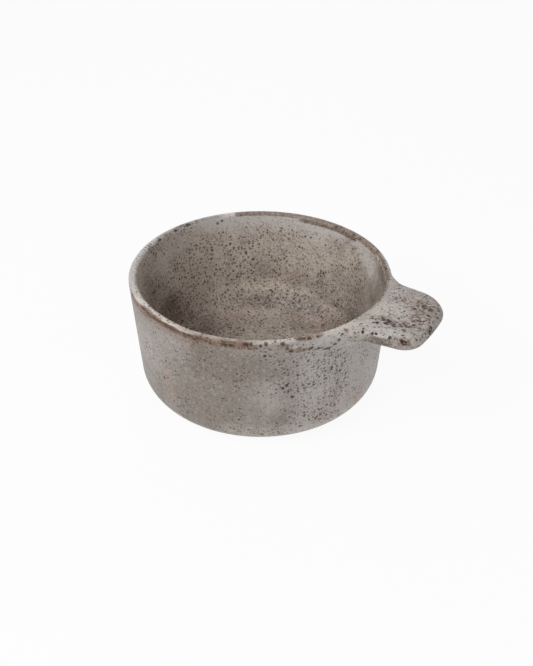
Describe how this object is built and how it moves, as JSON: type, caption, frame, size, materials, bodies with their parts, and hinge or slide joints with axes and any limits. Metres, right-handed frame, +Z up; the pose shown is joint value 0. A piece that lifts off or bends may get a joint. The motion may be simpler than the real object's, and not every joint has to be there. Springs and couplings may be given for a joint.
{
  "type": "ramekin",
  "caption": "Small round stoneware baking dish with a rolled rim, a turned foot ring and one flat tab handle level with the rim.",
  "frame": {"origin": "on the standing plane, under the middle of the whole length from the bowl's back to the tab's tip", "axes": "+X from the bowl to the tab's tip, +Z up out of the bowl"},
  "size_m": [0.1274, 0.1048, 0.0528],
  "materials": {
    "speckled_glaze": "satin warm grey stoneware glaze with fine dark specks"
  },
  "bodies": {
    "root": {"cup_body": "speckled_glaze", "tab_handle": "speckled_glaze"}
  },
  "joints": []
}
